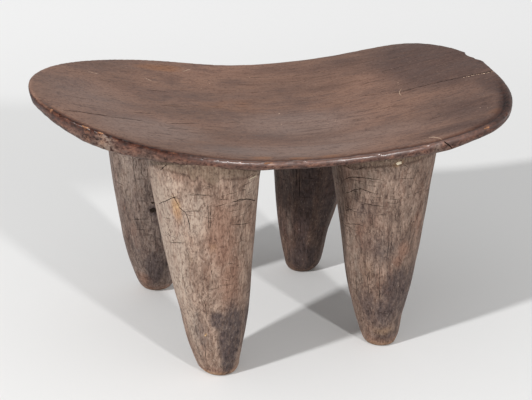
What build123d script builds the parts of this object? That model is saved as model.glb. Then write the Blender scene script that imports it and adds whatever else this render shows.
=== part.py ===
from build123d import *
from math import exp
import os

# A low four-legged stool or headrest, carved from one block of wood.
# Millimetres, +Z up, +X along the length of the seat, front towards -Y.
# The floor is z = 0 and the origin is under the middle of the whole object.
# The real thing has no joints: it is divided here only where each leg grows
# out of the underside of the seat.

# ---- seat ----
HALF_LENGTH = 240.0      # nominal, middle to either end
HALF_DEPTH = 150.0       # nominal, middle to front or back
SADDLE_LOW = 231.0       # height of the rim at the middle of the front
END_RISE = 30.5          # how far the rim climbs from there to each end
SADDLE_POWER = 1.7       # 2 would be a parabola, less is straighter
END_TILT = 9.5           # the left end is this much higher, the right end lower
BACK_TWIST = 14.0        # the same difference, added gradually towards the back
DISH_DEPTH = 8.0         # hollow of the sitting surface below the rim
RIM_THICKNESS = 7.0      # at the middle of the front and back
LEFT_RIM_GAIN = 9.0      # extra thickness at the left end
RIGHT_RIM_GAIN = 5.5     # extra thickness at the right end
BELLY = 20.0             # how far the underside bulges down in the middle
RIM_SHARPNESS = 2.4      # how quickly dish and belly fade out near the rim
TOP_ROUNDING = 2.4       # wear on the upper corner of the rim
LOWER_ROUNDING = 4.0     # the lower corner is rounded further

# Plan of the seat, seen from above, anticlockwise from the right end. It was
# cut by eye, so the back is straighter than the front and no two corners match.
SEAT_PLAN = [
    (253, 18),
    (249, 78),
    (216, 129),
    (142, 137),
    (60, 138),
    (-10, 143),
    (-75, 145),
    (-140, 127),
    (-200, 84),
    (-237, 27),
    (-243, -28),
    (-206, -94),
    (-150, -132),
    (-75, -150),
    (0, -150),
    (75, -155),
    (135, -153),
    (187, -137),
    (226, -88),
    (242, -40),
]

# ---- legs ----
FOOT_RADIUS = 14.0       # flat that stands on the ground
FOOT_ROUNDING = 2.5      # worn corner of the foot
SWELL_POWER = 0.58       # the leg swells fast above the foot, slowly higher up
LEG_LEVELS = [0.0, 0.03, 0.08, 0.16, 0.28, 0.44, 0.62, 0.8, 1.0, 1.15]

# Each leg: centre of the foot, centre and half widths of its root under the
# seat, and the height at which it has those half widths.
LEGS = {
    "leg_front_left": {"foot": (-88, -99), "root": (-103, -92), "half": (54, 53), "height": 232},
    "leg_front_right": {"foot": (84, -99), "root": (83, -91), "half": (53, 54), "height": 222},
    "leg_rear_left": {"foot": (-92, 96), "root": (-98, 84), "half": (55, 54), "height": 232},
    "leg_rear_right": {"foot": (75, 88), "root": (84, 76), "half": (53, 51), "height": 221},
}

# ---- construction ----
GRID_STEP = 30.0         # spacing of the points that carry the curved surfaces
GRID_OVERHANG = 60.0     # how far those surfaces reach past the seat
BLOCK_HEIGHT = 400.0     # taller than the whole object


def rim_height(x, y):
    """Height of the rim's crest above the floor, at any place on the plan."""
    along = x / HALF_LENGTH
    towards_back = 0.5 * (1.0 + y / HALF_DEPTH)
    rise = END_RISE * abs(along) ** SADDLE_POWER
    return SADDLE_LOW + rise - END_TILT * along - BACK_TWIST * along * towards_back


def middle_share(x, y):
    """1 in the middle of the seat, falling smoothly to almost 0 at its rim."""
    distance_squared = (x / HALF_LENGTH) ** 2 + (y / HALF_DEPTH) ** 2
    return exp(-RIM_SHARPNESS * distance_squared ** 2)


def top_height(x, y):
    """The sitting surface, dished below the rim."""
    return rim_height(x, y) - DISH_DEPTH * middle_share(x, y)


def underside_height(x, y):
    """The underside, which bulges down between the legs."""
    along = x / HALF_LENGTH
    gain = LEFT_RIM_GAIN if along < 0 else RIGHT_RIM_GAIN
    thickness = RIM_THICKNESS + gain * along ** 2 + BELLY * middle_share(x, y)
    return rim_height(x, y) - thickness


def steps_between(low, high):
    """Evenly spaced values from low to high, about GRID_STEP apart."""
    count = round((high - low) / GRID_STEP)
    return [low + (high - low) * i / count for i in range(count + 1)]


def curved_surface(height_at):
    """A smooth surface through height_at(x, y), wider than the seat."""
    reach_x = HALF_LENGTH + GRID_OVERHANG
    reach_y = HALF_DEPTH + GRID_OVERHANG
    rows = []
    for x in steps_between(-reach_x, reach_x):
        rows.append([Vector(x, y, height_at(x, y)) for y in steps_between(-reach_y, reach_y)])
    return Face.make_surface_from_array_of_points(rows)


def rim_edges(board):
    """The edges that run right round the board, lowest first."""
    return board.edges().filter_by(lambda edge: edge.length > HALF_LENGTH).sort_by(Axis.Z)


def seat(above_top, below_underside):
    """The thin dished board: its plan, trimmed by the two curved surfaces."""
    outline = Spline(SEAT_PLAN, periodic=True)
    blank = extrude(make_face(outline), BLOCK_HEIGHT)
    board = blank - above_top - below_underside
    board = fillet(rim_edges(board)[0], LOWER_ROUNDING)
    return fillet(rim_edges(board)[-1], TOP_ROUNDING)


def leg(foot, root, half, height, below_underside):
    """A tapered leg of oval section, cut off by the underside of the seat."""
    sections = []
    for level in LEG_LEVELS:
        swell = level ** SWELL_POWER
        centre_x = foot[0] + (root[0] - foot[0]) * swell
        centre_y = foot[1] + (root[1] - foot[1]) * swell
        half_x = FOOT_RADIUS + (half[0] - FOOT_RADIUS) * swell
        half_y = FOOT_RADIUS + (half[1] - FOOT_RADIUS) * swell
        sections.append(Pos(centre_x, centre_y, height * level) * Ellipse(half_x, half_y))
    shaft = loft(sections)
    sole = shaft.faces().sort_by(Axis.Z)[0]
    shaft = fillet(sole.edges(), FOOT_ROUNDING)
    return shaft & below_underside


def build_parts():
    above_top = extrude(curved_surface(top_height), BLOCK_HEIGHT, dir=(0, 0, 1))
    below_underside = extrude(curved_surface(underside_height), BLOCK_HEIGHT, dir=(0, 0, -1))
    parts = {"seat": seat(above_top, below_underside)}
    for name, shape in LEGS.items():
        parts[name] = leg(**shape, below_underside=below_underside)
    return parts


def centred(parts):
    """Move everything so that the origin is under the middle of the whole."""
    box = Compound(list(parts.values())).bounding_box()
    middle = box.center()
    shift = Pos(-middle.X, -middle.Y, -box.min.Z)
    return {name: shift * shape for name, shape in parts.items()}


os.makedirs("parts", exist_ok=True)
for node, shape in centred(build_parts()).items():
    export_step(shape, "parts/" + node + ".step")
    print(node, round(shape.volume), shape.bounding_box())
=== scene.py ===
import math

import bmesh
import bpy
import numpy as np
from mathutils import Matrix, Vector
from mathutils.bvhtree import BVHTree
from mathutils.kdtree import KDTree


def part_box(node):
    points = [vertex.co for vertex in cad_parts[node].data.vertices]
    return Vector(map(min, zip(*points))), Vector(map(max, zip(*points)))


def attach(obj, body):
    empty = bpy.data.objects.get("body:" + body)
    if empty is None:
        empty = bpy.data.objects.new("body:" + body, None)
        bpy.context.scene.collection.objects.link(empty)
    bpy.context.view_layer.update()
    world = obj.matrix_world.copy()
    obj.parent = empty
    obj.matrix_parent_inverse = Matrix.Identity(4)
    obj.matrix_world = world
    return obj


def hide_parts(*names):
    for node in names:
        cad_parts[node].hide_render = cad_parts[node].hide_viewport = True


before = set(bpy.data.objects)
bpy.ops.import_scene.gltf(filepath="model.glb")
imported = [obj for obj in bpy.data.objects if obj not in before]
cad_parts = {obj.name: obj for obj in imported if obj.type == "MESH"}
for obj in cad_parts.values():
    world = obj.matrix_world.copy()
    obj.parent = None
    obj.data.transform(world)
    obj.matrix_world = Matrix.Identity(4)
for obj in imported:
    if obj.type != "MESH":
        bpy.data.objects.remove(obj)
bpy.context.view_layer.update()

# A low stool carved from one block. The five CAD solids are replaced by finer meshes of the same
# shape that carry the marks of the adze, the worn rim, the drying cracks and the chips.
# Lengths in the tables below are in millimetres, in the frame of the CAD model.

MM = 0.001
SEAT_LOW, SEAT_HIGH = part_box("seat")
LEG_NODES = ["leg_front_left", "leg_front_right", "leg_rear_left", "leg_rear_right"]

# ---- mesh density and shaping ----
SEAT_VOXEL = 1.55 * MM
LEG_VOXEL = 1.3 * MM
SHARP_ANGLE = math.radians(38)
ROOT_OVERLAP = 4.0 * MM          # how far a leg runs up into the seat
CUT_HEADROOM = 1.5 * MM          # how far a cutter stands out of the surface
SEAT_SEED, LEG_SEED, LEG_NOISE = 41, 200, 60        # of the random cracks, and of the legs' noise
SEAT_CHECKS, UNDERSIDE_CHECKS, LEG_SPLITS, LEG_CHECKS = 46, 40, 80, 70      # how many are drawn


# ---- tables written as text

WOOD, CREVICE, RAW, WORN = range(4)         # the slots of a piece's materials
FACES = {"wood": WOOD, "raw": RAW, "crevice": CREVICE, "worn": WORN}


def read_word(word):
    if word in FACES:
        return FACES[word]
    return tuple(map(float, word.split(","))) if "," in word else float(word)


def rows(text):
    """A table's rows, parted by semicolons, of numbers, points x,y and materials."""
    return [[read_word(word) for word in row.split()] for row in text.split(";") if row.strip()]


def leg_rows(text):
    """One table for each leg, in the order of LEG_NODES."""
    return [rows(part) for part in text.split("|")]


# ---- noise on vertices

def lattice(ix, iy, iz, seed):
    """A repeatable pseudo-random value from -1 to 1 for each lattice point."""
    h = (ix * 374761393 + iy * 668265263 + iz * 1442695041 + seed * 974634777) & 0xFFFFFFFF
    h = ((h ^ (h >> 13)) * 1274126177) & 0xFFFFFFFF
    h = ((h ^ (h >> 16)) * 2246822519) & 0xFFFFFFFF
    return ((h >> 8) & 0xFFFF) / 32767.5 - 1.0


def noise(points, size, seed):
    """Smooth value noise from -1 to 1. points is (n, 3), size the cell's size along each axis."""
    p = points / np.asarray(size, float)
    cell = np.floor(p).astype(np.int64)
    t = p - cell
    t = t * t * (3 - 2 * t)
    total = np.zeros(len(points))
    for corner in np.ndindex(2, 2, 2):
        total += np.where(corner, t, 1 - t).prod(1) * lattice(*(cell + corner).T, seed)
    return total


def layers(points, seed, *table):
    """The sum of noises (strength, size), with seeds counted up from the first."""
    return sum(strength * noise(points, size, seed + i) for i, (strength, size) in enumerate(table))


def bump(distance, width):
    """1 at distance 0, falling smoothly to 0 over about two widths."""
    return np.exp(-((distance / width) ** 2))


def smooth_step(x, low, high):
    t = np.clip((x - low) / (high - low), 0, 1)
    return t * t * (3 - 2 * t)


# ---- mesh helpers

def link(obj):
    bpy.context.scene.collection.objects.link(obj)
    return obj


def coordinates(mesh, kind="co"):
    """Each vertex's place, or its normal."""
    values = np.empty(len(mesh.vertices) * 3)
    mesh.vertices.foreach_get(kind, values)
    return values.reshape(-1, 3)


def set_coordinates(mesh, co):
    mesh.vertices.foreach_set("co", co.ravel())
    mesh.update()


def bake_modifiers(obj):
    """Replaces the object's mesh by the one that its modifiers make."""
    graph = bpy.context.evaluated_depsgraph_get()
    mesh = bpy.data.meshes.new_from_object(obj.evaluated_get(graph))
    obj.modifiers.clear()
    obj.data = mesh


def even_copy(node, name, voxel, materials):
    """A copy of a CAD node with small, even faces."""
    piece = link(bpy.data.objects.new(name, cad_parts[node].data.copy()))
    piece.data.materials.clear()
    remesh = piece.modifiers.new("even", "REMESH")
    remesh.mode = "VOXEL"
    remesh.voxel_size = voxel
    bake_modifiers(piece)
    relax(piece.data)
    for material in materials:
        piece.data.materials.append(material)
    return piece


def relax(mesh, rounds=2, share=0.5):
    """Averages each vertex with its neighbours, to take out the remesh's small steps."""
    co = coordinates(mesh)
    edges = np.empty(len(mesh.edges) * 2, np.int64)
    mesh.edges.foreach_get("vertices", edges)
    a, b = edges[0::2], edges[1::2]
    count = np.bincount(edges, minlength=len(co))[:, None]
    for _ in range(rounds):
        total = np.zeros_like(co)
        for axis in range(3):
            total[:, axis] = np.bincount(a, co[b, axis], len(co)) + np.bincount(b, co[a, axis], len(co))
        co += share * (total / count - co)
    set_coordinates(mesh, co)


def attributes(mesh, **values):
    """Adds values from 0 to 1 at the vertices, for the materials to read."""
    for name, each in values.items():
        layer = mesh.attributes.new(name, "FLOAT", "POINT")
        layer.data.foreach_set("value", np.clip(each, 0, 1).astype(np.float32))


def spots(table, u, v, turns=False):
    """The strongest of the soft spots at (u, v). Rows: u, v, half size in each, strength."""
    total = np.zeros(len(u))
    for at_u, at_v, half_u, half_v, strength in table:
        away = (u - at_u + 180) % 360 - 180 if turns else u - at_u
        gap = (away / half_u) ** 2 + ((v - at_v) / half_v) ** 2
        total = np.maximum(total, strength * np.exp(-gap))
    return total


def surface_tree(obj):
    mesh = obj.data
    return BVHTree.FromPolygons([v.co for v in mesh.vertices], [p.vertices for p in mesh.polygons])


# ---- the seat's outline and the legs' axes

CAD_SEAT = coordinates(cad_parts["seat"].data)
OUTLINE_BINS = 1440


def seat_outline():
    """Points round the rim, with the crest's height and the rim's thickness there."""
    x, y, z = CAD_SEAT.T
    angle, radius = np.arctan2(y, x), np.hypot(x, y)
    steps = np.linspace(-math.pi, math.pi, OUTLINE_BINS, endpoint=False)
    reach, crest, low = (np.full(OUTLINE_BINS, np.nan) for _ in range(3))
    for i, here in enumerate(steps):
        turn = np.abs((angle - here + math.pi) % (2 * math.pi) - math.pi)
        near = turn < math.radians(0.35)
        if near.any():
            reach[i] = radius[near].max()
        near = turn < math.radians(2.5)
        rim = near & (radius > radius[near].max() - 5 * MM)
        crest[i], low[i] = z[rim].max(), z[rim].min()
    known = ~np.isnan(reach)
    ring = np.concatenate([steps[known] - 2 * math.pi, steps[known], steps[known] + 2 * math.pi])
    reach = np.interp(steps, ring, np.tile(reach[known], 3))
    kernel = np.hanning(25) / np.hanning(25).sum()
    smooth = [np.convolve(np.r_[v[-12:], v, v[:12]], kernel, "valid") for v in (crest, low)]
    points = np.c_[reach * np.cos(steps), reach * np.sin(steps)]
    return points, smooth[0], smooth[0] - smooth[1]


OUTLINE, CREST, THICKNESS = seat_outline()
OUTLINE_TREE = KDTree(OUTLINE_BINS)
for number, (x, y) in enumerate(OUTLINE.tolist()):
    OUTLINE_TREE.insert((x, y, 0), number)
OUTLINE_TREE.balance()


def rim_facts(co):
    """For each vertex: distance in from the outline, nearest outline point, and the way inward."""
    nearest = np.array([OUTLINE_TREE.find((x, y, 0))[1] for x, y in co[:, :2].tolist()])
    along = np.roll(OUTLINE, -3, 0) - np.roll(OUTLINE, 3, 0)
    along /= np.linalg.norm(along, axis=1)[:, None]
    inward = np.c_[-along[:, 1], along[:, 0]]
    offset = co[:, :2] - OUTLINE[nearest]
    return (offset * inward[nearest]).sum(1), nearest, inward[nearest]


class Axis:
    """The middle line of a leg, by height, and its radius there."""

    def __init__(self, co):
        self.levels = np.arange(4, 240, 8) * MM
        rows = []
        for z in self.levels:
            near = np.abs(co[:, 2] - z) < 3 * MM
            if not near.any():
                break
            low, high = co[near, :2].min(0), co[near, :2].max(0)
            rows.append([*(low + high) / 2, (high - low).mean() / 2])
        self.rows = np.array(rows)
        self.levels = self.levels[:len(rows)]

    def at(self, z):
        return np.stack([np.interp(z, self.levels, self.rows[:, i]) for i in range(3)], -1)

    def turn(self, co):
        """Degrees round the leg, 0 at the front and growing towards +X."""
        here = self.at(co[:, 2])
        return np.degrees(np.arctan2(co[:, 0] - here[:, 0], -(co[:, 1] - here[:, 1])))


# ---- cutters for cracks, scratches and chips

def resample(points, step, flat=None):
    """Points along a polyline, both ends kept, evenly spaced as measured along flat."""
    points = np.asarray(points, float)
    spans = np.diff(points if flat is None else flat, axis=0)
    length = np.r_[0, np.cumsum(np.linalg.norm(spans, axis=1))]
    count = max(3, int(round(length[-1] / step)) + 1)
    where = np.linspace(0, length[-1], count)
    return np.stack([np.interp(where, length, column) for column in points.T], -1)


def groove(rng, points, outward, width, depth, face, open_ends=(False, False), ragged=0.25):
    """A wedge along a line on the surface: (vertices, faces, material). Closed ends taper away."""
    width, depth = width * MM, depth * MM
    along = np.gradient(points, axis=0)
    side = np.cross(along, outward)
    side /= np.linalg.norm(side, axis=1)[:, None]
    share = np.linspace(0, 1, len(points))
    taper = np.ones(len(points))
    for is_open, way in zip(open_ends, (share, 1 - share)):
        if not is_open:
            taper = np.minimum(taper, 0.12 + way * 4)
    wide = width * taper * (1 + ragged * rng.uniform(-1, 1, len(points)))
    deep = depth * (0.35 + 0.65 * taper)
    points = points + side * (rng.uniform(-1, 1, len(points)) * width * ragged)[:, None]
    spread = (wide / 2 * (deep + CUT_HEADROOM) / deep)[:, None]
    top = points + outward * CUT_HEADROOM
    left, right, floor = top - side * spread, top + side * spread, points - outward * deep[:, None]
    vertices = np.stack([left, right, floor], 1).reshape(-1, 3)
    faces = [(0, 1, 2)]
    for i in range(len(points) - 1):
        a, b = 3 * i, 3 * i + 3
        faces += [(a, b, b + 1, a + 1), (a + 1, b + 1, b + 2, a + 2), (a + 2, b + 2, b, a)]
    faces.append((b + 1, b, b + 2))
    return vertices, faces, face


def scoop(rng, point, outward, along, length, width, depth, face):
    """A shallow uneven hollow: a low faceted dome sunk into the surface."""
    length, width, depth = length * MM, width * MM, depth * MM
    point, outward = np.array(point), np.asarray(outward) / np.linalg.norm(outward)
    side = np.cross(outward, along)
    side /= np.linalg.norm(side)
    along = np.cross(side, outward)
    vertices, faces, count = [], [], 9
    for spread, height in ((1.0, CUT_HEADROOM), (0.86, -0.1 * depth), (0.5, -0.75 * depth)):
        for i in range(count):
            a = 2 * math.pi * i / count
            uneven = 1 + 0.22 * rng.uniform(-1, 1)
            offset = along * math.cos(a) * length / 2 + side * math.sin(a) * width / 2
            vertices.append(point + offset * spread * uneven + outward * height)
    vertices.append(point - outward * depth)
    for i in range(count):
        j = (i + 1) % count
        faces += [(a + i, a + count + i, a + count + j, a + j) for a in (0, count)]
        faces.append((2 * count + i, 3 * count, 2 * count + j))
    faces.append(tuple(range(count)))
    return np.array(vertices), faces, face


def cutter_object(cutters, name, materials):
    vertices, faces, which = [], [], []
    for points, cutter_faces, face in cutters:
        start = len(vertices)
        vertices += points.tolist()
        faces += [tuple(start + i for i in f) for f in cutter_faces]
        which += [face] * len(cutter_faces)
    mesh = bpy.data.meshes.new(name)
    mesh.from_pydata(vertices, [], faces)
    for material in materials:
        mesh.materials.append(material)
    mesh.polygons.foreach_set("material_index", which)
    mesh.update()
    work = bmesh.new()
    work.from_mesh(mesh)
    bmesh.ops.recalc_face_normals(work, faces=work.faces)
    work.to_mesh(mesh)
    work.free()
    return link(bpy.data.objects.new(name, mesh))


def carve(piece, cutters):
    """Takes the cutters out of the piece, in batches in which no two of them touch."""
    batches = []            # of pairs: the cutters' boxes, and the cutters
    for cutter in cutters:
        low, high = cutter[0].min(0) - 0.2 * MM, cutter[0].max(0) + 0.2 * MM
        for boxes, members in batches:
            if all((low > h).any() or (high < l).any() for l, h in boxes):
                break
        else:
            boxes, members = [], []
            batches.append((boxes, members))
        boxes.append((low, high))
        members.append(cutter)
    for number, (_, members) in enumerate(batches):
        tool = cutter_object(members, piece.name + "_cut%d" % number, piece.data.materials)
        cut = piece.modifiers.new("cut", "BOOLEAN")
        cut.operation, cut.object, cut.solver = "DIFFERENCE", tool, "MANIFOLD"
        cut.material_mode = "INDEX"
        bake_modifiers(piece)
        bpy.data.meshes.remove(tool.data)


# ---- the seat

# Lines on the sitting surface: width, depth, and the points x,y along them.
SEAT_CRACKS = rows("""
  1.3 3 -228,-44 -214,-39 -203,-39 -192,-38 -178,-38; 1.1 2.6 -181,-39.5 -170,-37 -158,-36 -147,-37;
  .7 1.2 -157,-15 -142,-12 -127,-10; .9 1.5 -128,-36 -110,-31 -91,-27; .9 1.5 -132,-51 -118,-49 -105,-47;
  .7 1.2 -118,19 -105,22 -93,24; .5 1 2,109 20,107 37,103; .5 1 -4,68 8,69; .5 1 35,35 47,31 59,26;
  .5 1 -64,-24 -52,-20 -40,-18; .5 1 11,-46 20,-49 30,-51; 1 3.5 206,-2 194,1 185,3 176,3.5;
  .9 3 178,5 167,5 157,8; .7 2 160,6 141,5 127,12; .6 1.6 125,13 113,16 99,21""")
SEAT_SCRATCHES = rows("""
  .6 .35 137,-4 137.5,3 141,9 147,15; .6 .3 -109,95 -103,87; .6 .3 -59,121 -46,131; .5 .3 -171,85 -160,84;
  .8 .5 102,-134 104,-131.5 107.5,-133 110,-138 111.5,-143""")
SEAT_SPECKS = rows("""
  4 3 1.8; -6 -28 1.6; 49 -35 1.4; 12 108 1.6; 18 107 1.2; -38 94 1.3; -53 78 1.2; -63 11 1.2; 36 1 1.2;
  40 -38 1.4; 180 -91 1.3; 185 -97 1.4; 150 31 1.6""")
# The split at the right end, from the rim inwards, and the pale stuff that fills it in places.
SPLIT = rows("256,-14 243,-11 229,-8 218,-4 205,-2")[0]
SPLIT_FILL = (209, 251)          # from x to x
# The slit that slants down the rim's side below the nick: x,z.
RIM_SLIT = rows("110.5,234.6 113.5,232.6 116.5,229.8 119.5,227")[0]
# What has broken away from the rim: outlines in plan, each cut right through.
RIM_BREAKS = rows("""
  270,62 262,125 226,117 233.5,104 239.2,90 242.2,76 244.4,62.5 244.2,60 242.8,57.2 242,53 242.4,46
  243.8,40 243.2,35 245,30 246.4,24.5 245.6,20 248.5,13 270,12;
  262,-15.5 249,-13.2 242.5,-11.2 236,-9.6 243,-8.8 250,-7.4 262,-6""")
# Chips out of the crest of the rim: x, y, length along the rim, width, depth, material.
CREST_CHIPS = rows("""
  -235 -44 3 9 1.6 worn; -229 -55 6 3 1 wood; -217 -82 12 3 .7 worn; -207 -93 8 2.5 .6 worn;
  -190 -106 10 3 .8 wood; -120 -137 14 3 .7 wood; -66 -146 12 2.5 .6 worn; -30 -147 9 2.5 .6 wood;
  40 -150 11 3 .7 wood; 92 -150 10 3 .8 wood; 160 -142 9 2.5 .6 worn; 192 -128 12 3 .8 wood;
  222 -92 9 3 .9 wood; 237 -50 8 3 .9 wood; 160 141 12 4 1 wood; 60 141 10 3 .8 wood;
  -40 148 14 3 .9 wood; -160 122 10 3 .9 wood; -214 78 9 3 1 wood""")
# Soft patches of colour on the seat: x, y, half length, half width, strength.
SEAT_WARM = rows("""
  -88 125 26 9 .9; -69 132 16 6 .8; -67 -132 14 5 .8; -30 -134 16 4 .8; 0 -134 14 4 .7; 191 -110 14 6 .8;
  -30 30 60 40 .35; 60 10 60 30 .3; 120 -60 40 30 .3; -120 -90 30 14 .35""")
SEAT_DARK = rows("""
  226 -40 26 55 .8; 210 60 75 95 1; 170 -80 70 55 .6; -150 110 70 25 .4; 140 -124 70 16 .7;
  205 -92 26 30 .6; 120 110 60 24 .5; 30 120 80 14 .35; -60 60 60 20 .3; 150 -20 40 18 .25;
  -200 10 25 50 .25; 90 60 50 18 .3; -10 -95 60 16 .3""")
# Painted sheen: grey patches on the top that stand in for light reflected by the polish: x, y, half length,
# half width, strength.
SEAT_PAINTED_SHEEN = rows("""
  -190 10 65 80 .55; -150 -60 60 45 .85; -105 60 60 40 .3; 60 -90 110 34 .5; 10 -30 85 45 .75;
  -30 -112 110 22 .85""")
# Grey scuffs and orange wear on the side of the rim.
RIM_PALE = rows("""
  -224 -71 12 12 .3; -203 -95 14 12 .58; -170 -118 16 10 .35; 103 -150 6 6 .5; 40 -152 30 6 .25;
  -60 -146 30 6 .25; 200 -120 18 8 .25""")
RIM_ORANGE = rows("""
  -236 -43 3 3 .7; -231 -55 4 4 .35; -217 -82 8 6 .36; -207 -93 7 5 .34; -40 -150 60 6 .25;
  20 -152 40 6 .38; 225 -92 10 10 .38; 246 -30 8 20 .3""")
# Where the rim's lower edge stands below the even CAD one: x, y, reach, drop.
RIM_DROPS = rows("-247 -26 26 -3.4; -209 -90 32 3.3; -170 -118 30 1.6; 106 -150 40 3.2")


def prism(outline, low, high, face):
    """A vertical prism from an outline in plan, in millimetres."""
    count = len(outline)
    vertices = np.concatenate([np.c_[np.array(outline) * MM, np.full(count, z)] for z in (low, high)])
    faces = [tuple(range(count)), tuple(range(count, 2 * count))]
    faces += [(i, (i + 1) % count, count + (i + 1) % count, count + i) for i in range(count)]
    return vertices, faces, face


def gutter(co, inward):
    """How far inside the rim its gutter runs, how wide (widest front right) and how clear it is."""
    wide = smooth_step(co[:, 0], 0.1, 0.19) * smooth_step(-co[:, 1], 0.0, 0.08)
    place = (5.8 + 3.6 * wide + 0.7 * noise(co, (0.045, 0.045, 1), 14)) * MM
    return place, wide, smooth_step(inward[:, 1], 0.1, 0.5)


def seat_shape(mesh):
    """Rounds the rim under, and adds the carver's and the wearer's marks."""
    co = coordinates(mesh)
    inset, nearest, inward = rim_facts(co)
    thickness = THICKNESS[nearest]
    down = np.clip((CREST[nearest] - co[:, 2]) / thickness, 0, 1)
    bevel = np.clip(0.36 * (thickness - 7.5 * MM), 0, None)
    move = bevel * down ** 1.5 * np.exp(-np.clip(inset, 0, None) / (14 * MM))
    co[:, :2] += inward * move[:, None]
    no = coordinates(mesh, "normal")
    top = smooth_step(no[:, 2], 0.2, 0.8)
    for x, y, reach, drop in RIM_DROPS:
        away = np.hypot(co[:, 0] / MM - x, co[:, 1] / MM - y)
        co[:, 2] -= drop * MM * bump(away, reach) * (1 - top) * smooth_step(down, 0.2, 1.0)
    bottom = smooth_step(-no[:, 2], 0.2, 0.8)
    side = (1 - top) * (1 - bottom)
    # The sitting surface: long shallow waves, and a groove inside the crest.
    height = top * layers(co, 11, (0.36, (0.08, 0.045, 1)), (0.13, (0.034, 0.016, 1)),
                          (0.08, (0.016, 0.0035, 1)))
    place, wide, clear = gutter(co, inward)
    height -= top * clear * (1.0 + 0.6 * wide) * bump(inset - place, (1.9 + 1.0 * wide) * MM)
    height += top * clear * 0.4 * bump(inset - 0.35 * place, 0.4 * place)
    # The rim's side: dents along it, and an uneven crest.
    lower = side * smooth_step(down, 0.25, 0.7)
    height += lower * layers(co, 15, (0.6, (0.018, 0.018, 0.012)), (0.35, (0.0065, 0.0065, 0.006)))
    near_rim = np.exp(-np.clip(inset, 0, None) / (5 * MM))
    height += near_rim * 0.16 * noise(co, (0.03, 0.03, 0.05), 17)
    # The underside keeps the adze's facets.
    facets = noise(co, (0.024, 0.015, 1), 18)
    height += bottom * (0.8 * np.abs(facets) - 0.3 + 0.3 * noise(co, (0.009, 0.006, 1), 19))
    co += no * (height * MM)[:, None]
    set_coordinates(mesh, co)


def on_seat(tree, x, y, below=False):
    """The point of the seat above or below (x, y), or None."""
    start, way = (-1, 1) if below else (1, -1)
    return tree.ray_cast(Vector((x * MM, y * MM, start)), Vector((0, 0, way)))[0]


def line_on_seat(tree, points, step=2.4, below=False):
    """The polyline carried onto the seat: places and outward directions."""
    places = [on_seat(tree, x, y, below) for x, y in resample(points, step)]
    places = np.array([place for place in places if place is not None])
    return places, np.tile([0, 0, -1.0 if below else 1.0], (len(places), 1))


def seat_cutters(tree):
    rng = np.random.default_rng(SEAT_SEED)
    cutters = []
    for face, table in ((CREVICE, SEAT_CRACKS), (RAW, SEAT_SCRATCHES)):
        for width, depth, *points in table:
            cutters.append(groove(rng, *line_on_seat(tree, points), width, depth, face))
    cutters.append(groove(rng, *line_on_seat(tree, SPLIT, 3), 1.5, 5, CREVICE, (True, False)))
    for x, y, size in SEAT_SPECKS:
        place = on_seat(tree, x, y)
        cutters.append(scoop(rng, place, (0, 0, 1), (1, 0.3, 0), size, size * 0.8, 0.4, RAW))
    path = np.array(SPLIT[::-1])
    for x in np.arange(*SPLIT_FILL, 2.5):
        x += rng.uniform(-0.6, 0.6)
        place = on_seat(tree, x, np.interp(x, path[:, 0], path[:, 1]) - rng.uniform(1.3, 2.1))
        if place is not None:
            length, width = rng.uniform(1.4, 3.2), rng.uniform(1.0, 1.8)
            cutters.append(scoop(rng, place, (0, 0, 1), (1, -0.25, 0), length, width, 0.5, RAW))
    places = [tree.ray_cast(Vector((x * MM, -0.3, z * MM)), Vector((0, 1, 0)))[0] for x, z in RIM_SLIT]
    places = resample([p for p in places if p is not None], 2)
    front = np.tile([0, -1.0, 0], (len(places), 1))
    cutters.append(groove(rng, places, front, 0.9, 2.2, CREVICE, (True, True)))
    low, high = SEAT_LOW.z - 0.02, SEAT_HIGH.z + 0.02
    cutters += [prism(outline, low, high, WOOD) for outline in RIM_BREAKS]
    for x, y, length, width, depth, face in CREST_CHIPS:
        there = np.array([x, y]) * MM
        i = ((OUTLINE - there) ** 2).sum(1).argmin()
        along = OUTLINE[(i + 4) % OUTLINE_BINS] - OUTLINE[i - 4]
        along /= np.linalg.norm(along)
        out = np.array([along[1], -along[0]])
        start = Vector((*(OUTLINE[i] + out * 0.03), CREST[i] + 0.022))
        aim = Vector((*-out, -0.75)).normalized()
        place = tree.ray_cast(start, aim)[0]
        if place is not None:
            outward = (out[0] * 0.7, out[1] * 0.7, 0.7)
            cutters.append(scoop(rng, place, outward, (*along, 0), length, width, depth, face))
    # Fine drying cracks that follow the grain, most of them near the ends.
    for _ in range(SEAT_CHECKS):
        x, y = rng.choice([-1, 1]) * rng.uniform(60, 215), rng.uniform(-105, 105)
        if (x / 225) ** 2 + (y / 130) ** 2 > 0.9:
            continue
        length, slope = rng.uniform(12, 34), rng.uniform(-0.12, 0.12)
        points = [(x - length / 2, y), (x, y + slope * length / 2 + rng.uniform(-0.5, 0.5)),
                  (x + length / 2, y + slope * length)]
        cutters.append(groove(rng, *line_on_seat(tree, points, 4), 0.38, 0.8, CREVICE))
    # The underside has cracks too.
    for _ in range(UNDERSIDE_CHECKS):
        x, y = rng.uniform(-190, 190), rng.uniform(-110, 110)
        if (x / 215) ** 2 + (y / 125) ** 2 > 0.9:
            continue
        length = rng.uniform(15, 60)
        points = [(x, y), (x + length / 2, y + rng.uniform(-2, 2)), (x + length, y + rng.uniform(-3, 3))]
        places, down = line_on_seat(tree, points, 4, below=True)
        if len(places) > 3:
            cutters.append(groove(rng, places, down, 0.6, 1.5, CREVICE))
    return cutters


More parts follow.
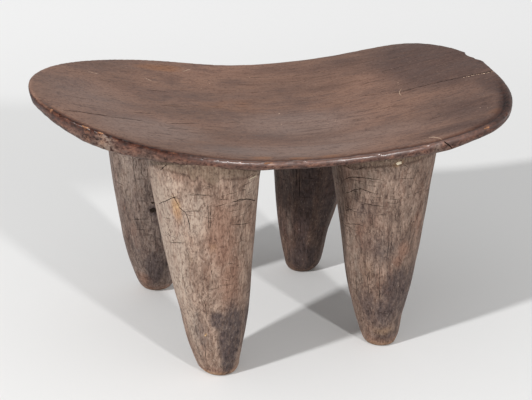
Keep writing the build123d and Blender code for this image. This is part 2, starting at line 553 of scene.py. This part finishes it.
def seat_attributes(mesh):
    co = coordinates(mesh)
    inset, nearest, inward = rim_facts(co)
    no = coordinates(mesh, "normal")
    down = (CREST[nearest] - co[:, 2]) / THICKNESS[nearest]
    top = smooth_step(no[:, 2], 0.35, 0.8)
    under = smooth_step(-no[:, 2], 0.3, 0.7) * smooth_step(inset, 4 * MM, 14 * MM)
    place, wide, clear = gutter(co, inward)
    outside = smooth_step(place - inset, -0.5 * MM, 1.5 * MM) * clear
    right, left = smooth_step(co[:, 0], 0.11, 0.2), smooth_step(-co[:, 0], 0.09, 0.16)
    x, y, _ = co.T / MM
    attributes(
        mesh,
        rim=np.maximum(outside, 1 - top) * (1 - under),
        under=under,
        gutter=top * clear * bump(inset - place, (2.5 + 1.6 * wide) * MM),
        # crest: the rim's rounded top; besides roughness and coat it masks the painted highlight in the
        # colour
        crest=clear * bump(inset - 1.2 * MM, 2.4 * MM) * smooth_step(0.6 - down, 0, 0.4),
        # the rim's side darker at the right end and along the upper left
        sooty=np.maximum(0.85 * right, left * smooth_step(0.62 - down, 0, 0.35)),
        orange=spots(RIM_ORANGE, x, y),
        warm=spots(SEAT_WARM, x, y),
        dark=spots(SEAT_DARK, x, y) * top,
        # grey: painted sheen
        grey=spots(SEAT_PAINTED_SHEEN, x, y) * top,
        pale=spots(RIM_PALE, x, y) * (1 - top),
        low=smooth_step(down, 0.4, 1.0) * (1 - top))


def make_seat():
    seat = even_copy("seat", "seat_top", SEAT_VOXEL, seat_materials())
    seat_shape(seat.data)
    if DETAILS:
        carve(seat, seat_cutters(surface_tree(seat)))
    seat_attributes(seat.data)
    return seat


# ---- the legs

# Places on a leg are turn,height: degrees round it from the front towards +X, and millimetres.
LEG_CRACKS = leg_rows("""
  .72 2.5 -67,226 -59,231 -44,236; .64 2.2 -84,186 -66,195 -57,200 -47,205; .56 2 -38,207 -25,208 -13,208;
  .72 2.6 8,197 21,198 34,195 55,186; .48 1.6 11,174 30,170 47,167; .48 1.6 -13,195 -14.5,182 -14,170;
  .48 1.6 11,185 11.5,180 11,176; .48 1.6 29,182 30,172; .48 1.8 -45,189 -30,191 -17,191;
  .48 1.8 -72,150 -55,154 -44,156; .48 1.8 -6,203 7,201; .48 1.8 -10,195 5,197; .48 1.8 -72,172 -67,161;
  .72 2.4 -57,211 -54,205 -49,193 -41,188 -38,176 -38,168 |
  .72 2.6 -76,186 -63,194 -52,196 -41,197 -30,197 -23,196;
  .72 2.6 -76,172 -63,178 -57,182 -50,184 -42,183 -29,181; .56 2 -54,166 -41,169 -31,168 -22,168;
  .56 2 -78,153 -66,158 -56,161; .56 2 -80,138 -57,144 -48,144; .64 2.2 -72,204 -63,203 -54,204 -46,210;
  .48 1.4 -8,210 -3,212 1,209; .48 1.8 -25,107 -26,88 -24,70 -23,55; .48 1.6 -24,21 -25,11;
  .48 1.6 -26,45 -14,44 -3,42 |
  .56 2 -56,96 -40,99 -23,100; .56 2 -50,176 -30,181 -18,180; .56 2 -44,200 -44,160 -41,128;
  .48 1.4 -34,79 -26,80 -17,80; .48 1.4 -52,84 -40,86 -31,86; .48 1.4 -44,121 -33,122 -26,122 |
  .56 2 -60,178 -44,184 -28,184; .48 1.6 -40,160 -42,120 -40,90""")
LEG_SCRATCHES = leg_rows("1 .4 33,215 42,215 52,213 | | |")
# How the real shafts stand off the even CAD ones: height, reach of the change, move in x, in y, swelling.
SHAFT_SHIFTS = leg_rows("""
  70 55 2.4 0 0; 180 50 .8 0 -.6; 1 7 0 0 1.1 |
  5 22 2.7 0 0; 30 30 0 0 -1.9; 0 5 0 0 1; 120 70 .8 0 -1 |
  200 60 1.6 0 -.4 |
  80 55 -1.6 0 -1.4; 44 27 -1.5 0 -1.6; 112 24 1.2 0 .6; 0 40 0 -3 0""")
# Adze flats down a shaft: turn, and how far out the flat lies as a share of the radius.
SHAFT_FLATS = leg_rows("| | -62 .95; -24 .96 | -68 .93; -28 .92; 12 .93; 50 .94")
# Chips: turn, height, length, width, tilt of the long side from level, depth, material.
LEG_CHIPS = leg_rows("""
  -43 224 10 6 10 .7 wood; -50 194 10 3 80 .6 worn; -36 53 5 2.2 60 .5 worn; 20 5 14 6 0 1.2 wood;
  -60 6 12 6 5 1 wood; 70 96 12 4 80 .7 wood |
  -14 214.5 7 4 15 .8 raw; -20 8 9 12 0 2 wood; 30 6 16 7 0 1.2 wood; -66 207 26 9 20 1.6 wood;
  50 150 14 5 80 .8 wood |
  -19 110.5 9 7 10 1.5 crevice; -19 120 4.5 3 20 .7 crevice; -56 16 12 7 0 1 wood; -30 6 12 6 0 1 wood |
  -40 8 12 6 0 1 wood; -57 96 22 8 85 .9 wood""")
# Colour patches: turn, height, half width in degrees, half height, strength.
LEG_PATCHES = {
    "pale": leg_rows("""
  -72 150 34 90 .9; -55 215 22 16 .5; -60 60 22 50 .6; 30 200 30 14 .35; -34 186 34 30 .72;
  44 204 20 28 .5 |
  -40 190 40 26 .4; -70 100 25 60 .45; -20 120 25 30 .3; 20 208 40 8 .3 |
  -60 150 30 60 .45; -40 40 25 30 .25 |
  -60 64 12 34 .38; -66 140 12 50 .4"""),
    "warm": leg_rows("""
  -1 162 26 50 .8; 8 110 26 40 .7; -43 224 16 9 .45; 20 120 25 30 .5; 10 90 30 20 .5; 0 4 200 9 .6;
  40 170 16 30 .45; -20 130 14 24 .5 |
  8 117 12 12 .8; 1 105 10 9 .8; 0 6 200 13 .5; 20 175 30 26 .35; -40 120 16 22 .4; 30 140 16 26 .55 |
  -56 20 30 12 .7; 0 4 200 9 .6; -45 130 10 40 .3 |
  0 4 200 8 .3; -50 200 20 26 .5; -18 196 20 24 .5; 10 120 30 60 .3"""),
    "orange": leg_rows("""
  -52 190 8 15 .8; -42 138 7 16 .3; -43 224 12 7 .15; -36 53 5 5 .4; 0 3 200 5 .45; -12 150 8 12 .35;
  -36 130 7 22 .22; -30 100 6 20 .15 |
  0 3 200 7 .4; -14 214 10 5 .5; -45 105 20 30 .3; -10 20 40 10 .4 |
  -56 20 16 8 .25; 0 3 200 6 .3 |
  0 3 200 5 .3; -20 190 16 12 .3"""),
    "dark": leg_rows("""
  14 42 27 42 1.2; -13 70 15 13 .85; 60 60 40 60 .6; 80 150 26 90 .4; -44 54 22 28 .5; -20 236 60 5 .5 |
  6 64 30 38 .95; -46 52 26 26 .65; -14 44 34 26 .8; 34 60 34 50 .7; 80 130 30 100 .5; -60 215 26 10 .4;
  -45 160 30 22 .45; -25 118 45 28 .5; 20 170 24 20 .25; 0 14 60 10 .6 |
  -20 110 8 9 .9; -20 36 26 26 .9; 4 110 34 120 .55; -66 70 14 40 .2; -40 225 60 16 .6 |
  -40 130 120 150 .5; -27 96 17 110 .95; -20 22 60 26 .8; 20 100 40 110 .6""")}
# Under the seat the legs get a darker olive band, partly the wood's tone and partly painted shade from the
# seat above, with a painted shadow line at its lower edge.
OLIVE_SHADE_BAND = 9.0         # height of the greenish band under the seat


def on_leg(tree, axis, turn, height):
    """The point of the leg's surface at (turn, height), and the outward direction there."""
    a = math.radians(turn)
    out = Vector((math.sin(a), -math.cos(a), 0))
    x, y, _ = axis.at(height * MM)
    return tree.ray_cast(Vector((x, y, height * MM)) + out * 0.12, -out)[:2]


def line_on_leg(tree, axis, points, step=2.4):
    """A polyline of (turn, height) carried onto the leg: places and outward directions."""
    flat = [(math.radians(t) * axis.at(h * MM)[2] / MM, h) for t, h in points]
    hits = [on_leg(tree, axis, t, h) for t, h in resample(points, step, flat)]
    hits = [hit for hit in hits if hit[0] is not None]
    return np.array([place for place, _ in hits]), np.array([normal for _, normal in hits])


def leg_shape(number, mesh, underside):
    """Facets, ridges and a worn foot, and a root that runs up into the seat."""
    co = coordinates(mesh)
    here = Axis(co).at(co[:, 2])
    for level, reach, move_x, move_y, swell in SHAFT_SHIFTS[number]:
        share = bump(co[:, 2] / MM - level, reach)[:, None]
        out = (co[:, :2] - here[:, :2]) / here[:, 2:3]
        co[:, :2] += share * (np.array([move_x, move_y]) + out * swell) * MM
    here = Axis(co).at(co[:, 2])
    for turn, share in SHAFT_FLATS[number]:
        a = math.radians(turn)
        out = np.array([math.sin(a), -math.cos(a)])
        over = (co[:, :2] - here[:, :2]) @ out - share * here[:, 2]
        co[:, :2] -= np.clip(over, 0, None)[:, None] * out
    set_coordinates(mesh, co)
    axis = Axis(co)
    no = coordinates(mesh, "normal")
    height = co[:, 2] / MM
    here = axis.at(co[:, 2])
    radial = co[:, :2] - here[:, :2]
    angle = np.arctan2(radial[:, 0], -radial[:, 1])
    ring = np.c_[np.sin(angle) * here[:, 2], np.cos(angle) * here[:, 2], co[:, 2]]
    wall = smooth_step(1 - np.abs(no[:, 2]), 0.2, 0.7)
    seed = LEG_NOISE + 10 * number
    push = layers(ring, seed, (0.55, (0.014, 0.014, 0.06)), (0.3, (0.0065, 0.0065, 0.045)),
                  (0.16, (0.0028, 0.0028, 0.03)), (0.45, (0.03, 0.03, 0.022)))
    foot = smooth_step(26 - height, 0, 22)
    push += foot * 0.6 * noise(ring, (0.006, 0.006, 0.007), seed + 4)
    gap = (underside(co) - co[:, 2]) / MM
    room = smooth_step(rim_facts(co)[0], 9 * MM, 22 * MM)
    push += 3.2 * room * np.exp(-np.clip(gap, 0, None) / 5.0)
    co += no * (wall * push * MM)[:, None]
    # The top face goes up into the seat, out of sight.
    co[:, 2] += ROOT_OVERLAP * smooth_step(3.0 - gap, 0, 3)
    set_coordinates(mesh, co)
    return axis


def underside_lookup():
    """Height of the seat's underside at each vertex's (x, y), from the CAD seat."""
    tree = surface_tree(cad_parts["seat"])
    step = 5 * MM
    xs = np.arange(SEAT_LOW.x, SEAT_HIGH.x + step, step)
    ys = np.arange(SEAT_LOW.y, SEAT_HIGH.y + step, step)
    hits = [[tree.ray_cast(Vector((x, y, 0)), Vector((0, 0, 1)))[0] for y in ys] for x in xs]
    grid = np.array([[np.nan if hit is None else hit.z for hit in line] for line in hits])
    grid = np.where(np.isnan(grid), np.nanmedian(grid), grid)

    def look(co):
        u = np.clip((co[:, 0] - xs[0]) / step, 0, len(xs) - 1.001)
        v = np.clip((co[:, 1] - ys[0]) / step, 0, len(ys) - 1.001)
        i, j = u.astype(int), v.astype(int)
        s, t = u - i, v - j
        low = grid[i, j] * (1 - t) + grid[i, j + 1] * t
        high = grid[i + 1, j] * (1 - t) + grid[i + 1, j + 1] * t
        return low * (1 - s) + high * s

    return look


def leg_cutters(number, tree, axis):
    rng = np.random.default_rng(LEG_SEED + number)
    cutters = []

    def fine_crack(points, step, depth):
        places, outward = line_on_leg(tree, axis, points, step)
        if len(places) > 3:
            cutters.append(groove(rng, places, outward, rng.uniform(0.25, 0.45), depth, CREVICE, ragged=0.5))

    for face, table in ((CREVICE, LEG_CRACKS), (RAW, LEG_SCRATCHES)):
        for width, depth, *points in table[number]:
            line = line_on_leg(tree, axis, points)
            cutters.append(groove(rng, *line, width, depth, face, ragged=0.35))
    for turn, height, length, width, tilt, depth, face in LEG_CHIPS[number]:
        place, normal = on_leg(tree, axis, turn, height)
        a, tilt = math.radians(turn), math.radians(tilt)
        along = (math.cos(a) * math.cos(tilt), math.sin(a) * math.cos(tilt), math.sin(tilt))
        cutters.append(scoop(rng, place, normal, along, length, width, depth, face))
    top = float(axis.levels[-1]) / MM - 6
    # Splits that run down the grain, all round the leg.
    for _ in range(LEG_SPLITS):
        turn, low = rng.uniform(-180, 180), rng.uniform(14, top - 40)
        length = rng.uniform(8, 36)
        sway = rng.uniform(-2.0, 2.0, 4)
        fine_crack([(turn + sway[i], low + length * i / 3) for i in range(4)], 3.2, 0.9)
    # Checks across the grain, nearly level, most of them high on the leg.
    for _ in range(LEG_CHECKS):
        turn, height = rng.uniform(-180, 180), top - 6 - abs(rng.normal(0, 50))
        if height < 24:
            continue
        width, slope = rng.uniform(5, 26), rng.uniform(-3, 3)
        points = [(turn + width * (s - 0.5), height + slope * s + rng.uniform(-0.5, 0.5))
                  for s in np.linspace(0, 1, 4)]
        fine_crack(points, 2.6, 1.0)
    return cutters


def leg_attributes(number, mesh, axis, underside):
    co = coordinates(mesh)
    height, turn = co[:, 2] / MM, axis.turn(co)
    patches = {name: spots(legs[number], turn, height, turns=True) for name, legs in LEG_PATCHES.items()}
    # band: the olive band, partly painted shade from the seat; edge: a painted shadow line at its lower edge
    gap = (underside(co) - co[:, 2]) / MM - OLIVE_SHADE_BAND
    attributes(mesh, **patches, band=smooth_step(-gap, -4, 5), sole=smooth_step(2.5 - height, 0, 2),
               edge=bump(gap - 1.5 + 1.2 * noise(co, (0.02, 0.02, 1), 44), 1.3))


def make_legs(underside):
    legs = []
    for number, node in enumerate(LEG_NODES):
        materials = leg_materials(node, *LEG_TONES[number])
        leg = even_copy(node, node.replace("leg", "stool_leg"), LEG_VOXEL, materials)
        axis = leg_shape(number, leg.data, underside)
        if DETAILS:
            carve(leg, leg_cutters(number, surface_tree(leg), axis))
        leg_attributes(number, leg.data, axis, underside)
        legs.append((node, leg))
    return legs


# ---- materials

class Graph:
    """Builds one material's nodes. A value may be a plain number or colour, or another node's output."""

    def __init__(self, name):
        self.material = bpy.data.materials.new(name)
        self.material.use_nodes = True
        self.nodes = self.material.node_tree.nodes
        self.links = self.material.node_tree.links
        self.shader = self.nodes["Principled BSDF"]
        self.place = self.node("TexCoord").outputs["Object"]

    def put(self, socket, value):
        if isinstance(value, bpy.types.NodeSocket):
            self.links.new(value, socket)
        elif isinstance(value, (tuple, list)) and len(socket.default_value) == 4:
            socket.default_value = (*value, 1)
        else:
            socket.default_value = value

    def fill(self, sockets, *values):
        for socket, value in zip(sockets, values):
            self.put(socket, value)

    def set(self, **values):
        for name, value in values.items():
            self.put(self.shader.inputs[name.replace("_", " ")], value)

    def attribute(self, name):
        node = self.node("Attribute")
        node.attribute_name = name
        return node.outputs["Fac"]

    def node(self, kind, **inputs):
        node = self.nodes.new("ShaderNode" + kind)
        for name, value in inputs.items():
            self.put(node.inputs[name], value)
        return node

    def stretched(self, scale, place):
        return self.node("Mapping", Vector=place or self.place, Scale=scale).outputs["Vector"]

    def warped(self, amount, scale):
        """Coordinates that wander, so that the grain isn't straight."""
        wander = self.node("TexNoise", Vector=self.place, Scale=scale, Detail=2)
        node = self.node("VectorMath")
        node.operation = "MULTIPLY_ADD"
        self.fill(node.inputs, wander.outputs["Color"], amount, self.place)
        return node.outputs[0]

    def noise(self, scale, detail=4, rough=0.55, place=None):
        """Noise with its own scale along each axis, in cells per metre."""
        place = self.stretched(scale, place)
        return self.node("TexNoise", Vector=place, Scale=1, Detail=detail, Roughness=rough).outputs["Fac"]

    def cells(self, scale, place):
        """Distance to the edges of irregular cells."""
        node = self.node("TexVoronoi", Vector=self.stretched(scale, place), Scale=1)
        node.feature = "DISTANCE_TO_EDGE"
        return node.outputs["Distance"]

    def math(self, operation, *values):
        node = self.node("Math")
        node.operation = operation
        self.fill(node.inputs, *values)
        return node.outputs[0]

    def times(self, a, b):
        return self.math("MULTIPLY", a, b)

    def plus(self, a, b):
        return self.math("ADD", a, b)

    def line(self, value, slope, start):
        """value * slope + start."""
        return self.math("MULTIPLY_ADD", value, slope, start)

    def span(self, value, low, high, to_low=0.0, to_high=1.0):
        """value, mapped smoothly from low..high to to_low..to_high."""
        node = self.node("MapRange")
        node.interpolation_type = "SMOOTHSTEP"
        self.fill(node.inputs, value, low, high, to_low, to_high)
        return node.outputs[0]

    def mix(self, share, a, b, blend="MIX"):
        node = self.node("Mix")
        node.data_type, node.blend_type = "RGBA", blend
        colours = [s for s in node.inputs if s.type == "RGBA"]
        self.fill([node.inputs[0], *colours], share, a, b)
        return [s for s in node.outputs if s.type == "RGBA"][0]

    def shade(self, colour, share, factor):
        """colour, multiplied by factor where share is 1."""
        return self.mix(share, colour, factor, "MULTIPLY")

    def blotch(self, name, noise, spread, strength=1):
        """An attribute's soft patch, broken up by noise."""
        broken = self.line(noise, spread * 2, -spread)
        return self.span(self.plus(self.attribute(name), broken), 0.18, 0.72, 0, strength)

    def bump(self, height, strength, distance):
        node = self.node("Bump", Strength=strength, Distance=distance, Height=height)
        self.put(self.shader.inputs["Normal"], node.outputs["Normal"])


def crevice_shade_material(name, dark, light):
    """Darkness inside a crack: partly dust, partly painted shade of its depth."""
    g = Graph(name)
    dust = g.noise((300, 300, 300), 5)
    g.set(Base_Color=g.mix(g.span(dust, 0.35, 0.7), dark, light), Roughness=0.92, Specular_IOR_Level=0.1)
    g.bump(dust, 0.6, 0.0005)
    return g.material


def raw_material(name, dark, light):
    """Fresh or worn pale wood in a chip or a scratch."""
    g = Graph(name)
    grain = g.noise((160, 700, 260), 4)
    g.set(Base_Color=g.mix(g.span(grain, 0.3, 0.7), dark, light),
          Roughness=g.span(grain, 0.2, 0.8, 0.62, 0.8), Specular_IOR_Level=0.3)
    g.bump(grain, 0.5, 0.0004)
    return g.material


def seat_wood():
    """Old hardwood, dark and polished by use, the grain running along the seat."""
    g = Graph("seat wood")
    bent = g.warped((0.012, 0.02, 0.02), 5.0)
    broad = g.noise((6, 12, 12), 3, place=bent)
    clouds = g.noise((17, 30, 30), 6, 0.62)
    bands = g.noise((5, 70, 70), 4, 0.6, place=bent)
    fibres = g.noise((18, 330, 330), 4, 0.62, place=bent)
    dashes = g.noise((34, 760, 760), 3, 0.6, place=bent)
    specks = g.noise((420, 420, 420), 3, 0.6)
    colour = g.mix(g.span(broad, 0.32, 0.68), (0.17, 0.092, 0.064), (0.262, 0.142, 0.097))
    colour = g.mix(g.span(bands, 0.45, 0.75, 0, 0.3), colour, (0.29, 0.16, 0.104))
    colour = g.shade(colour, g.span(bands, 0.48, 0.28, 0, 0.3), (0.7, 0.63, 0.61))
    colour = g.shade(colour, g.span(clouds, 0.54, 0.34, 0, 0.85), (0.64, 0.57, 0.55))
    # the grey patches are painted sheen, a reflection painted into the colour; the warm and dark ones are
    # the wood's tone
    for patch, spread, strength, tone in (
            ("grey", 0.2, 0.52, (0.262, 0.19, 0.163)), ("warm", 0.35, 0.5, (0.29, 0.118, 0.042)),
            ("dark", 0.22, 0.85, (0.08, 0.04, 0.031))):
        colour = g.mix(g.blotch(patch, clouds, spread, strength), colour, tone)
    colour = g.shade(colour, g.span(fibres, 0.48, 0.36), (0.74, 0.69, 0.67))
    colour = g.shade(colour, g.span(dashes, 0.45, 0.33), (0.56, 0.49, 0.47))
    colour = g.mix(g.span(fibres, 0.56, 0.7, 0, 0.2), colour, (0.33, 0.2, 0.14))
    colour = g.shade(colour, g.span(specks, 0.46, 0.34), (0.66, 0.6, 0.58))
    colour = g.mix(g.span(specks, 0.6, 0.72, 0, 0.35), colour, (0.36, 0.23, 0.165))
    # outside the gutter the rim is darker and redder, with wear down to paler wood
    mottle = g.noise((85, 85, 150), 6, 0.72)
    fine = g.noise((300, 300, 380), 4, 0.7)
    side = g.mix(g.span(mottle, 0.38, 0.64), (0.046, 0.02, 0.015), (0.15, 0.066, 0.045))
    # darker at the right end and along the upper left
    side = g.shade(side, g.attribute("sooty"), (0.56, 0.39, 0.31))
    side = g.shade(side, g.span(fine, 0.52, 0.38), (0.36, 0.3, 0.28))
    worn = g.times(g.span(mottle, 0.55, 0.68), g.span(fine, 0.48, 0.6))
    side = g.mix(g.times(worn, 0.6), side, (0.3, 0.14, 0.068))
    low = g.times(g.attribute("low"), g.span(fine, 0.34, 0.6, 0, 0.5))
    side = g.mix(low, side, (0.16, 0.112, 0.09))
    pale = g.times(g.blotch("pale", mottle, 0.45, 0.7), g.span(fine, 0.36, 0.58))
    side = g.mix(pale, side, (0.25, 0.195, 0.155))
    orange = g.times(g.blotch("orange", mottle, 0.35, 0.8), g.span(fine, 0.34, 0.56))
    side = g.mix(orange, side, (0.35, 0.16, 0.078))
    rim = g.attribute("rim")
    colour = g.mix(rim, colour, side)
    colour = g.shade(colour, g.times(g.attribute("gutter"), 0.95), (0.34, 0.2, 0.15))
    crest, mid_rim = g.attribute("crest"), g.line(g.attribute("sooty"), -1, 1)
    # painted highlight: a paler line painted along the crest where the lamps' glint runs; the coat adds the
    # real glint
    colour = g.mix(g.times(g.times(crest, mid_rim), 0.4), colour, (0.23, 0.12, 0.09))
    below = g.mix(g.span(bands, 0.35, 0.65), (0.08, 0.055, 0.042), (0.185, 0.132, 0.098))
    below = g.shade(below, g.span(fibres, 0.5, 0.34), (0.6, 0.56, 0.54))
    under = g.attribute("under")
    colour = g.mix(under, colour, below)
    polish = g.span(g.plus(clouds, g.times(fibres, 0.3)), 0.45, 0.85, 0.4, 0.58)
    polish = g.line(crest, -0.16, polish)
    rough = g.math("MAXIMUM", polish, g.times(under, 0.8))
    coat = g.line(crest, g.line(mid_rim, 0.88, 0.07), 0.03)
    g.set(Base_Color=colour, Roughness=rough, Specular_IOR_Level=g.line(rim, -0.16, 0.34),
          Coat_Weight=coat, Coat_Roughness=0.31, Coat_IOR=1.75)
    rough_rim = g.line(g.times(rim, g.line(crest, -1, 1)), 0.8, 0.06)
    relief = g.plus(g.times(fibres, 0.6), g.times(dashes, 0.5))
    relief = g.plus(relief, g.times(g.plus(mottle, fine), rough_rim))
    relief = g.times(relief, g.line(crest, -0.8, 1.0))
    g.bump(relief, 0.5, 0.0007)
    return g.material


def leg_wood(name, light, dark, stain, grit):
    """Weathered wood: grey where it has dried, brown and red where handled, stained below."""
    g = Graph(name)
    bent = g.warped((0.008, 0.008, 0.004), 16.0)
    broad = g.noise((30, 30, 16), 5, 0.62, place=bent)
    streaks = g.noise((190, 190, 40), 5, 0.7, place=bent)
    fibres = g.noise((500, 500, 95), 4, 0.67, place=bent)
    grain = g.noise((520, 520, 260), 4, 0.68)
    blotches = g.noise((75, 75, 50), 6, 0.72)
    pits = g.noise((300, 300, 140), 5, 0.72, place=bent)
    cross = g.noise((90, 90, 620), 4, 0.65)
    colour = g.mix(g.span(streaks, 0.34, 0.66), dark, light)
    colour = g.shade(colour, g.span(broad, 0.58, 0.36, 0, 0.8), (0.7, 0.63, 0.6))
    for patch, spread, strength, tone in (
            ("pale", 0.45, 0.75, (0.4, 0.318, 0.255)), ("warm", 0.45, 0.7, (0.248, 0.132, 0.088)),
            ("orange", 0.3, 0.7, (0.46, 0.27, 0.12))):
        colour = g.mix(g.blotch(patch, blotches, spread, strength), colour, tone)
    reds = g.span(g.noise((60, 60, 24), 5, 0.65), 0.52, 0.7, 0, 0.4)
    colour = g.mix(reds, colour, (0.205, 0.1, 0.068))
    soak = g.times(g.blotch("dark", blotches, 0.42), g.span(pits, 0.62, 0.44, 0.7, 1.0))
    colour = g.mix(g.times(soak, stain), colour, (0.062, 0.043, 0.043))
    # partly painted shade: the darker olive band just under the seat
    colour = g.mix(g.times(g.attribute("band"), 0.65), colour, (0.14, 0.096, 0.062))
    # painted shadow: a dark line at the band's lower edge, cast by the seat's overhang
    edge = g.times(g.attribute("edge"), g.span(blotches, 0.4, 0.52, 0.1, 0.9))
    colour = g.shade(colour, edge, (0.42, 0.34, 0.3))
    colour = g.shade(colour, g.span(fibres, 0.52, 0.34), (grit + 0.08, grit, grit - 0.03))
    colour = g.shade(colour, g.span(grain, 0.52, 0.36), (grit, grit * 0.92, grit * 0.9))
    colour = g.shade(colour, g.span(pits, 0.43, 0.33, 0, 0.95), (0.34, 0.27, 0.25))
    colour = g.shade(colour, g.span(cross, 0.37, 0.29, 0, 0.6), (0.5, 0.43, 0.41))
    colour = g.mix(g.span(grain, 0.6, 0.74, 0, 0.38), colour, (0.54, 0.45, 0.37))
    # a net of fine drying cracks, long down the grain and short across it
    net = g.cells((260, 260, 105), place=bent)
    lines = g.times(g.span(net, 0.06, 0.012, 0, 0.55), g.span(blotches, 0.44, 0.6))
    colour = g.shade(colour, lines, (0.38, 0.32, 0.3))
    sole = g.mix(g.span(streaks, 0.3, 0.7), (0.11, 0.075, 0.05), (0.235, 0.165, 0.11))
    colour = g.mix(g.attribute("sole"), colour, sole)
    g.set(Base_Color=colour, Roughness=g.span(blotches, 0.3, 0.7, 0.6, 0.8), Specular_IOR_Level=0.35)
    relief = g.times(lines, -0.4 / 0.55)
    for part, share in ((fibres, 0.5), (streaks, 0.35), (pits, 0.55), (grain, 0.3)):
        relief = g.line(part, share, relief)
    g.bump(relief, 0.7, 0.0009)
    return g.material


# Each leg's light and dark wood, how much of the stain shows, and its grit (lower is darker).
LEG_TONES = [
    ((0.4, 0.29, 0.222), (0.19, 0.128, 0.096), 0.95, 0.57),
    ((0.296, 0.208, 0.16), (0.136, 0.09, 0.068), 0.78, 0.57),
    ((0.27, 0.205, 0.17), (0.125, 0.09, 0.076), 0.8, 0.56),
    ((0.172, 0.104, 0.075), (0.076, 0.044, 0.031), 0.75, 0.56),
]


def seat_materials():
    return [seat_wood(), crevice_shade_material("seat crevice", (0.008, 0.004, 0.003), (0.03, 0.017, 0.012)),
            raw_material("seat raw wood", (0.4, 0.28, 0.2), (0.68, 0.52, 0.4)),
            raw_material("seat worn wood", (0.15, 0.07, 0.038), (0.4, 0.2, 0.105))]


def leg_materials(node, *tones):
    return [leg_wood(node + " wood", *tones),
            crevice_shade_material(node + " crevice", (0.012, 0.008, 0.006), (0.05, 0.034, 0.026)),
            raw_material(node + " raw wood", (0.42, 0.35, 0.25), (0.7, 0.62, 0.48)),
            raw_material(node + " worn wood", (0.26, 0.16, 0.085), (0.5, 0.33, 0.18))]


# ---- the set

EYE = Vector((-0.5309, -1.3098, 0.7492))
LOOKED_AT = Vector((-0.0187, -0.0223, 0.1411))
ROLL = math.radians(0.95)
LENS, SENSOR = 101.5, 36.0
# Lamps: azimuth from the front, elevation, distance, width, power.
LAMPS = [(-70.5, 32.5, 5.0, 0.3, 184), (9.7, 24.5, 5.0, 0.3, 104)]
SKY = 0.515
FLOOR_SIZE = 9.0
# Where the floor is painted paler, as shares of its size along the line of sight: painted light in place of
# a lit backdrop.
PAINTED_BACKDROP_LIGHT = (0.5 + 0.25 / FLOOR_SIZE, 0.5 + 1.05 / FLOOR_SIZE)


def make_camera():
    back = (EYE - LOOKED_AT).normalized()
    right = Vector((0, 0, 1)).cross(back).normalized()
    up = back.cross(right)
    right, up = (right * math.cos(ROLL) + up * math.sin(ROLL), up * math.cos(ROLL) - right * math.sin(ROLL))
    data = bpy.data.cameras.new("camera")
    data.lens, data.sensor_width = LENS, SENSOR
    camera = link(bpy.data.objects.new("camera", data))
    turn = Matrix((right, up, back)).transposed().to_4x4()
    turn.translation = EYE
    camera.matrix_world = turn
    bpy.context.scene.camera = camera


def make_lamps():
    for number, (azimuth, elevation, distance, width, power) in enumerate(LAMPS):
        a, e = math.radians(azimuth), math.radians(elevation)
        place = Vector((math.sin(a) * math.cos(e), -math.cos(a) * math.cos(e), math.sin(e))) * distance
        data = bpy.data.lights.new("lamp%d" % number, "AREA")
        data.shape, data.size, data.energy = "DISK", width, power
        lamp = link(bpy.data.objects.new("lamp%d" % number, data))
        lamp.location = place
        lamp.rotation_euler = (Vector((0, 0, 0.1)) - place).to_track_quat("-Z", "Y").to_euler()
    world = bpy.data.worlds.new("studio")
    world.use_nodes = True
    sky = world.node_tree.nodes["Background"].inputs
    sky["Color"].default_value, sky["Strength"].default_value = (1, 1, 1, 1), SKY
    bpy.context.scene.world = world
    bpy.context.scene.view_settings.view_transform = "Standard"


def make_floor():
    half = FLOOR_SIZE / 2
    mesh = bpy.data.meshes.new("floor")
    corners = [(-half, -half, 0), (half, -half, 0), (half, half, 0), (-half, half, 0)]
    mesh.from_pydata(corners, [], [(0, 1, 2, 3)])
    floor = link(bpy.data.objects.new("floor", mesh))
    g = Graph("studio paper")
    cloud = g.noise((0.6, 0.6, 0.6), 1)
    near = g.mix(cloud, (0.79, 0.79, 0.785), (0.82, 0.82, 0.815))
    attributes(mesh, away=coordinates(mesh) @ (LOOKED_AT - EYE).normalized() / FLOOR_SIZE + 0.5)
    # painted light: the floor turns paler far behind the stool, standing in for a lit backdrop
    g.set(Base_Color=g.mix(g.span(g.attribute("away"), *PAINTED_BACKDROP_LIGHT), near, (0.99, 0.99, 0.99)),
          Roughness=0.85, Specular_IOR_Level=0.2)
    mesh.materials.append(g.material)


# ---- everything together

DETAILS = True

stool_seat = make_seat()
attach(stool_seat, "root")
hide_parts("seat")
stool_legs = make_legs(underside_lookup())
for leg_node, stool_leg in stool_legs:
    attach(stool_leg, "root")
    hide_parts(leg_node)
for piece in [stool_seat] + [leg for _, leg in stool_legs]:
    piece.data.polygons.foreach_set("use_smooth", [True] * len(piece.data.polygons))
    piece.data.set_sharp_from_angle(angle=SHARP_ANGLE)

make_camera()
make_lamps()
make_floor()
